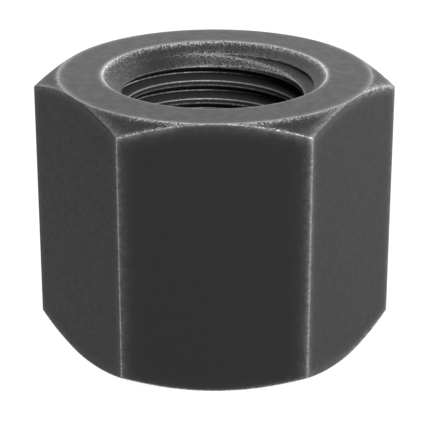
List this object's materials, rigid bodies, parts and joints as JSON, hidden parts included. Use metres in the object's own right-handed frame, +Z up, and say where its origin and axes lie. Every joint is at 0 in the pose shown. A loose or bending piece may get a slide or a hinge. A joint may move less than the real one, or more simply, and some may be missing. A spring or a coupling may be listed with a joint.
{
  "type": "tall hex nut",
  "caption": "Tall steel hex nut with a black oxide finish, a fine right-hand thread, and chamfered, countersunk ends.",
  "frame": {"origin": "middle of the bottom face, on the thread's axis", "axes": "+Z up along the thread's axis; flats face -Y and +Y, corners point to -X and +X"},
  "size_m": [0.0256, 0.0222, 0.0195],
  "materials": {
    "black_oxide_steel": "satin black oxide, worn to bare steel on its edges"
  },
  "bodies": {
    "root": {"hex_nut": "black_oxide_steel"}
  },
  "joints": []
}
